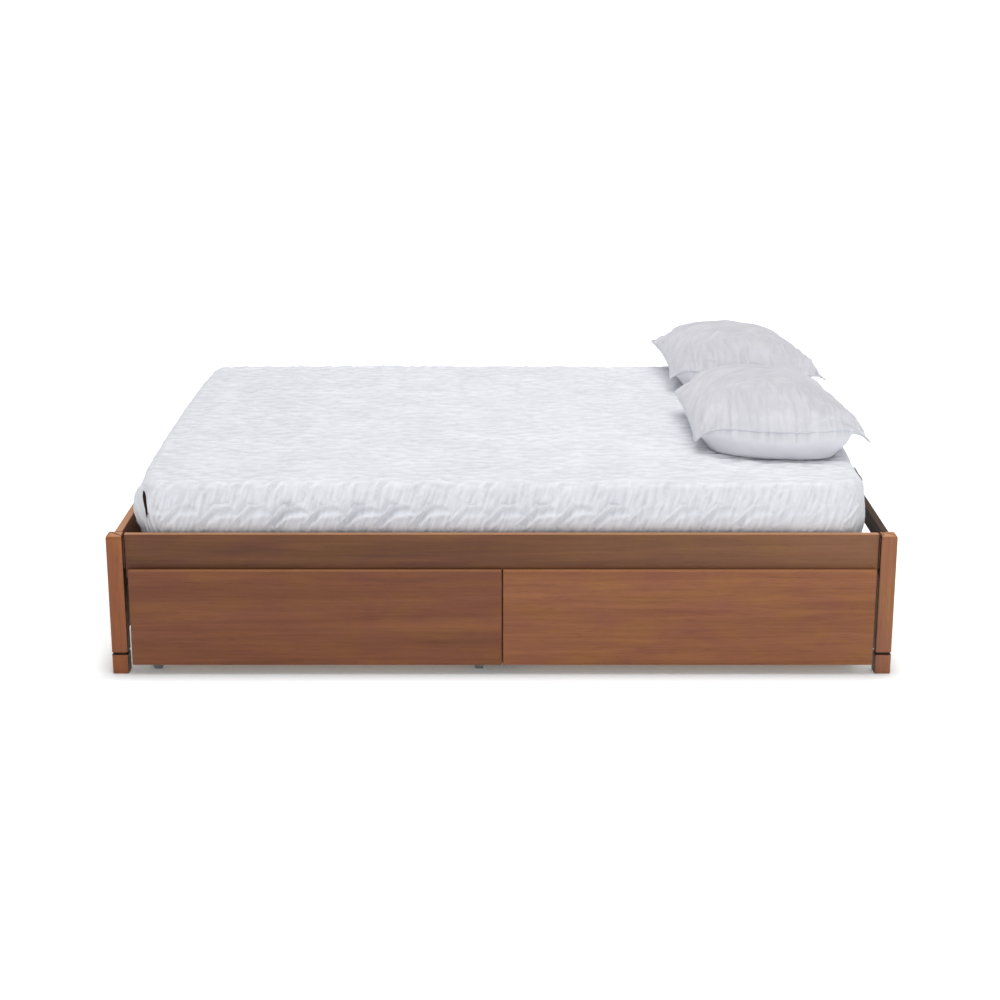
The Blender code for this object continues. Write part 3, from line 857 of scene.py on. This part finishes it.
def pillow_shape(low, high, tips, dome_x, dome_y, waist, columns, rows):
    """The smooth filled shape: a crowned top, a fuller underside, and ears at four low corners.

    Each tip is (inset along X, inset along Y, height above what it rests on), from its corner of the
    CAD box. Between its tips the near and far seams bulge out to the box, and rise, and the seams at
    the sides are drawn in by the waist.
    """
    ease = 0.86 * math.pi / 2
    places = np.linspace(-1, 1, columns), np.linspace(-1, 1, rows)
    s, t = np.meshgrid(*(np.sin(p * ease) / math.sin(ease) for p in places), indexing="ij")
    rest = low.z + 0.0005
    seam = np.zeros((columns, rows, 3))
    for (way_x, way_y), (inset_x, inset_y, lift) in tips.items():
        corner = (
            (low.x if way_x < 0 else high.x) - way_x * inset_x,
            (low.y if way_y < 0 else high.y) - way_y * inset_y,
            low.z + lift,
        )
        share = (1 + way_x * s) * (1 + way_y * t) / 4
        seam += share[..., None] * np.array(corner)
    seam[..., 0] -= np.where(s < 0, *waist) * s * (1 - t**2)
    bow = 1 - np.abs(s) ** SEAM_BOW
    full = 1 - np.abs(s) ** SEAM_FULLNESS
    for way_y in (-1, 1):
        insets = [inset_y for (_, way), (_, inset_y, _) in tips.items() if way == way_y]
        bulge = sum(insets) / 2 - SEAM_INSET
        nearness = ((1 + way_y * t) / 2) ** 2
        seam[..., 1] += way_y * bulge * bow * nearness
        seam[..., 2] += (low.z + PILLOW_SEAM - seam[..., 2]) * full * nearness
    upper = seam.copy()
    dome = ((1 - np.abs(s) ** np.where(s < 0, *dome_x)) * (1 - np.abs(t) ** dome_y)) ** DOME_STEEPNESS
    upper[..., 2] += (high.z - CROWN_DROP - seam[..., 2]) * dome + 0.0015
    lower = seam.copy()
    filled = np.clip(1 - (np.abs(s) / (1 - np.where(s < 0, *EARS))) ** 2.6, 0, 1)
    z = lower[..., 2] - UNDERSIDE * filled * (1 - t**8) ** 0.5 - 0.0015
    soft = 0.008
    z = np.where(z < rest + soft, rest + soft * np.exp(np.minimum((z - rest - soft) / soft, 0)), z)
    share = np.clip((seam[..., 2] - z) / (seam[..., 2] - rest), 0, 1)
    lower[..., 1] += UNDER_BULGE * np.sin(math.pi * share**0.8) * np.sign(t) * t**8 * (1 - s**4)
    lower[..., 2] = z
    return upper, lower


def gather(case, seam, frames, pressure):
    """Lets the filled case settle as cloth with a short seam, so that it puckers along it."""
    group = case.vertex_groups.new(name="seam")
    group.add([int(i) for i in seam], 1.0, "REPLACE")
    modifier = case.modifiers.new("filling", "CLOTH")
    cloth = modifier.settings
    cloth.quality = 5
    cloth.mass = 0.15
    cloth.air_damping = 2.0
    cloth.tension_stiffness = 30
    cloth.compression_stiffness = 30
    cloth.shear_stiffness = 12
    cloth.bending_stiffness = 0.04
    cloth.vertex_group_shrink = "seam"
    cloth.shrink_min = -CASE_SLACK
    cloth.shrink_max = SEAM_GATHER
    cloth.use_pressure = True
    cloth.uniform_pressure_force = pressure
    cloth.effector_weights.gravity = 0
    modifier.point_cache.frame_start = 1
    modifier.point_cache.frame_end = frames
    scene = bpy.context.scene
    for frame_number in range(1, frames + 1):
        scene.frame_set(frame_number)
    done = case.evaluated_get(bpy.context.evaluated_depsgraph_get())
    points = mesh_points(done.data)
    case.modifiers.remove(modifier)
    case.vertex_groups.clear()
    scene.frame_set(1)
    return points


def mesh_points(mesh):
    points = np.zeros(len(mesh.vertices) * 3, np.float32)
    mesh.vertices.foreach_get("co", points)
    return points.reshape(-1, 3).astype(float)


def pillow_relief(x, y, half_x, half_y, seed):
    """The top's puckers and its broad swells: arcs at the back, ripples in front, folds at the ears."""
    far = np.hypot(x, y + 0.16)
    around = np.arctan2(y + 0.16, x)
    wander = 0.5 * ripple_noise(x / 0.06, y / 0.06, seed)
    arcs = ripple_noise(far / 0.017 + wander, around / 0.36, seed + 1)
    arcs = arcs + 0.6 * ripple_noise(far / 0.010 + wander, around / 0.22, seed + 2)
    ripples = ripple_noise(x / 0.0085 + wander, y / 0.085, seed + 3)
    ripples = ripples + 0.6 * ripple_noise(x / 0.015 + wander, y / 0.10, seed + 4)
    front = smooth_step(-y, 0.06, 0.17)
    relief = mix(0.0040 * arcs, 0.0040 * ripples, front)
    for k, (way_x, way_y) in enumerate(((-1, -1), (1, -1), (-1, 1), (1, 1))):
        from_x = x - way_x * half_x
        from_y = y - way_y * half_y * 0.72
        away = np.hypot(from_x, from_y)
        folds = ripple_noise(np.arctan2(from_y, from_x * way_x) / 0.20, away / 0.16, seed + 7 + k)
        share = np.exp(-((away / 0.10) ** 1.5)) * smooth_step(away, 0.0, 0.03)
        relief = relief + 0.0060 * folds * share
    return relief, 0.0030 * ripple_noise(x / 0.11, y / 0.09, seed + 12)


def subdivided(obj):
    """Applies one subdivision to the object's mesh, and gives its points and ways out."""
    finer = obj.modifiers.new("finer", "SUBSURF")
    finer.levels = 1
    evaluated = obj.evaluated_get(bpy.context.evaluated_depsgraph_get())
    mesh = bpy.data.meshes.new_from_object(evaluated)
    obj.modifiers.remove(finer)
    obj.data = mesh
    outward = np.zeros(len(mesh.vertices) * 3, np.float32)
    mesh.vertex_normals.foreach_get("vector", outward)
    return mesh_points(mesh), outward.reshape(-1, 3).astype(float)


def pillow(node, tips, dome_x, dome_y, waist, seed):
    """A filled pillow in its CAD solid's place, with a creased top and piping round its seam."""
    low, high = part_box(node)
    columns = round((high.x - low.x) / CASE_STEP) + 1
    rows = round((high.y - low.y) / CASE_STEP) + 1
    upper, lower = pillow_shape(low, high, tips, dome_x, dome_y, waist, columns, rows)
    faces, seam, inside = pillow_grid(columns, rows)
    smooth = np.concatenate((upper.reshape(-1, 3), lower.reshape(-1, 3)[inside]))
    case = mesh_object(node + "_filled", smooth, faces)
    points = smooth
    moved = gather(case, seam, CASE_FRAMES, CASE_PRESSURE) - smooth
    far = np.linalg.norm(moved, axis=1, keepdims=True)
    points = smooth + moved * np.minimum(far, CASE_MOST) / np.maximum(far, 1e-9)
    points[:, 2] = np.maximum(points[:, 2], low.z + 0.0005)
    layers = np.arange(len(faces)) >= len(faces) // 2
    case.data.polygons.foreach_set("material_index", layers.astype(np.int32))
    case.data.vertices.foreach_set("co", points.astype(np.float32).ravel())
    piping = tube(node + "_piping", points[seam], PIPING_RADIUS)
    edging = cotton(node + "_piping_cotton", srgb(206, 206, 213), srgb(198, 198, 206), sheen=0.15)
    paint(piping, edging)

    points, outward = subdivided(case)
    middle = (low + high) / 2
    half = (high - low) / 2
    place_x = points[:, 0] - middle.x
    place_y = points[:, 1] - middle.y
    fine, broad = pillow_relief(place_x, place_y, half.x, half.y, seed)
    on_top = smooth_step(outward[:, 2], 0.05, 0.45)
    points += outward * ((fine + broad) * on_top)[:, None]
    points[:, 2] = np.minimum(points[:, 2], high.z + 0.012)
    case.data.vertices.foreach_set("co", points.astype(np.float32).ravel())
    case.data.update()
    set_creases(case, -fine * on_top / 0.0065)
    cloth = cotton(node + "_cotton", srgb(233, 232, 238), srgb(225, 224, 231), sheen=0.15)
    # Painted shade in the creases, painted highlight on the crests.
    paint_crease_shade(cloth, 0.24)
    # Painted shade on the crown, where it faces up, so that its slopes look brighter.
    shade_by_slope(cloth, 0.25, 1.0, 0.76)
    paint(case, cloth)
    # Painted light on the underside: its paler cotton and slight glow stand in for light bounced up
    # under the pillow.
    backing = cotton(
        node + "_backing", srgb(243, 242, 245), srgb(238, 237, 241), sheen=0.1, crumple=0.0002
    )
    painted_glow = backing.node_tree.nodes["Principled BSDF"].inputs
    painted_glow["Emission Color"].default_value = srgb(250, 250, 255)
    painted_glow["Emission Strength"].default_value = 0.27
    case.data.materials.append(backing)
    for piece in (case, piping):
        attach(piece, node)
    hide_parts(node)


# ------------------------------------------------------------------------------- CAD materials


# Woods, by the start of their nodes' names: the material's name, its dark and light colours, the axis
# of its grain unless it is a post, its shift in the noise, and other settings that wood takes
# Painted shade: the front post at the foot gets darker colours than the other posts, for light that
# falls more from the head end.
POSTS = {
    "post_front_foot": ("walnut_post_left", (106, 58, 29), (155, 94, 54), 1.1),
    "post_front_head": ("walnut_post_right", (112, 67, 43), (162, 107, 75), 2.3),
    "post_back_": ("walnut_post_back", (113, 69, 42), (164, 109, 75), 3.1),
}
# Painted light and shade: the left-hand drawer front gets darker colours than the right-hand one, for
# light from the head end; the rail's paler setting paints light growing towards the head end, and top
# paints a highlight on faces that look up.
LACQUERED = {
    "side_rail_": ("walnut_rail", (76, 43, 24), (118, 74, 45), 0, 0.3, {"paler": 0.11}),
    "foot_panel": ("walnut_foot_panel", (98, 58, 38), (148, 98, 70), 1, 4.7, {}),
    "drawer_left_front": ("walnut_drawer_left", (95, 52, 29), (130, 79, 48), 0, 7.3, {"top": 0.35}),
    "drawer_right_front": (
        "walnut_drawer_right",
        (110, 63, 37),
        (146, 92, 58),
        0,
        9.1,
        {"figure": 1.2, "top": 0.35},
    ),
}
SOFTWOODS = {
    "slat_": ("softwood_slat", (186, 146, 100), (222, 188, 144), 1, 0.9),
    "ledger_": ("softwood_long", (182, 142, 98), (218, 184, 140), 0, 2.9),
    "centre_beam": ("softwood_beam", (180, 138, 94), (216, 180, 136), 0, 6.9),
    "centre_leg_": ("softwood_leg", (182, 142, 98), (218, 184, 140), 2, 4.9),
}
BARE = {"shine": 0.6, "coat": 0, "pores": 0.2, "top": 0.0, "blotches": 0.3}
STAINED = {"shine": 0.5, "coat": 0, "top": 0.05, "blotches": 0.3}


def frame_looks():
    """A material for each start of a CAD node's name."""
    looks = {}
    for start, (name, dark, light, shift) in POSTS.items():
        looks[start] = post_wood(name, srgb(*dark), srgb(*light), shift)
    for start, (name, dark, light, axis, shift, settings) in LACQUERED.items():
        looks[start] = wood(name, srgb(*dark), srgb(*light), axis, shift, **settings)
    for start, (name, dark, light, axis, shift) in SOFTWOODS.items():
        looks[start] = wood(name, srgb(*dark), srgb(*light), axis, shift, **BARE)
    dark, light = srgb(20, 11, 8), srgb(50, 30, 22)
    looks["head_rail"] = wood("dark_stained_wood", dark, light, 1, 5.9, **STAINED)
    dark, light = srgb(74, 44, 32), srgb(98, 66, 52)
    looks["rail_hanger_"] = metal("bronzed_steel", dark, light, 0.4, 0.45, 0.6, 900.0)
    bright, worn = srgb(186, 188, 192), srgb(158, 158, 158)
    looks["caster_"] = metal("zinc_steel", bright, worn, 1.0, 0.28, 0.42, 500.0)
    looks["wheel_"] = nylon("grey_nylon")
    for side, shift in (("left", 0.0), ("right", 0.0011)):
        looks[f"drawer_{side}_bottom"] = plywood(f"plywood_bottom_{side}", 2, shift)
        looks[f"drawer_{side}_side_"] = plywood(f"plywood_sides_{side}", 0, shift)
        looks[f"drawer_{side}_back"] = plywood(f"plywood_back_{side}", 1, shift)
    return looks


def paint_frame(nodes):
    """Gives every CAD node that stays in view its own material."""
    looks = frame_looks()
    for name, node in nodes.items():
        if node.hide_render:
            continue
        found = [look for start, look in looks.items() if name.startswith(start)]
        paint(node, found[0])


def split_shade_strip():
    """A thin brown strip behind the split between the drawers, fixed to the right-hand drawer's front:
    a dark piece put there as painted shade in the split.

    It stops just short of the left-hand front, so that either drawer slides out alone.
    """
    _, left_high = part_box("drawer_left_front")
    low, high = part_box("drawer_right_front")
    start = left_high.x + 0.0003
    end = low.x + 0.010
    profile = ((start, 0.0002), (start, 0.003), (end, 0.003), (end, 0.0))
    points = [(x, high.y + y, z) for x, y in profile for z in (low.z + 0.001, high.z - 0.004)]
    faces = [(0, 1, 3, 2), (2, 3, 5, 4), (4, 5, 7, 6), (6, 7, 1, 0), (0, 2, 4, 6), (7, 5, 3, 1)]
    strip = mesh_object("split_shade_strip", points, np.array(faces))
    edges = strip.modifiers.new("edges", "BEVEL")
    edges.width = 0.0006
    edges.segments = 2
    # Painted shade: the strip's brown stands in for the shadow in the split.
    dark, light = srgb(96, 48, 30), srgb(120, 64, 42)
    paint(strip, wood("split_shade_strip_wood", dark, light, 2, 8.3, coat=0, top=0.0))
    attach(strip, "drawer_right")


# ----------------------------------------------------------------------- floor, lights, camera


def studio(half_x, half_y):
    """A white floor under soft light from above and in front, for a bed of these half sizes."""
    sides = (-BACKDROP_AWAY, -FLOOR_FLAT, FLOOR_FLAT, BACKDROP_AWAY)
    points = np.array([(x, y, 0.0) for x in sides for y in sides])
    points[np.abs(points).max(1) > FLOOR_FLAT, 2] = BACKDROP_RISE
    floor = mesh_object("studio_floor", points, grid_faces(4, 4))
    paint(floor, floor_material("studio_white", half_x, half_y))

    world = bpy.data.worlds.new("studio")
    world.use_nodes = True
    world.node_tree.nodes["Background"].inputs[0].default_value = (1.0, 1.0, 1.0, 1.0)
    world.node_tree.nodes["Background"].inputs[1].default_value = 0.46
    bpy.context.scene.world = world
    area_light("overhead", (0.3, -0.1, 4.4), (0.1, -0.1, 0.3), 4.6, 152)
    area_light("front_fill", (0.9, -5.0, 1.4), (0.2, -0.5, 0.35), 3.0, 45)


def area_light(name, place, aim, size, power):
    light = bpy.data.lights.new(name, "AREA")
    light.shape = "SQUARE"
    light.size = size
    light.energy = power
    lamp = bpy.data.objects.new(name, light)
    lamp.location = place
    lamp.rotation_euler = (Vector(aim) - Vector(place)).to_track_quat("-Z", "Y").to_euler()
    bpy.context.scene.collection.objects.link(lamp)


def camera():
    low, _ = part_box("post_front_foot")
    lens = bpy.data.cameras.new("camera")
    lens.lens = LENS
    lens.sensor_width = SENSOR
    lens.shift_x = CAMERA_SHIFT_X
    lens.clip_end = 2 * BACKDROP_AWAY
    eye = bpy.data.objects.new("camera", lens)
    eye.location = (0, low.y - CAMERA_BACK, CAMERA_HEIGHT)
    eye.rotation_euler = (math.pi / 2 - CAMERA_PITCH, 0, 0)
    bpy.context.scene.collection.objects.link(eye)
    bpy.context.scene.camera = eye


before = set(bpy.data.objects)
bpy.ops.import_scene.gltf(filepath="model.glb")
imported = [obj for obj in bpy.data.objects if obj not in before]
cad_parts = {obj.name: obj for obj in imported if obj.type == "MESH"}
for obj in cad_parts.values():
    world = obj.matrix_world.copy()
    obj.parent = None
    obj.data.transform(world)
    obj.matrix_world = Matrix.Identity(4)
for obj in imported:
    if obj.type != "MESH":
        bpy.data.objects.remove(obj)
cad_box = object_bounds()
bpy.context.scene.view_settings.view_transform = "Standard"
camera()
studio(cad_box[1].x, cad_box[1].y)
mattress_core()
border_glimpses(quilted_cover())
pillow("pillow_front", FRONT_PILLOW_TIPS, (2.6, 2.0), 2.6, (0.004, 0.030), 40)
pillow("pillow_rear", REAR_PILLOW_TIPS, (2.2, 2.2), 2.4, (0.014, 0.020), 60)
paint_frame(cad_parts)
split_shade_strip()
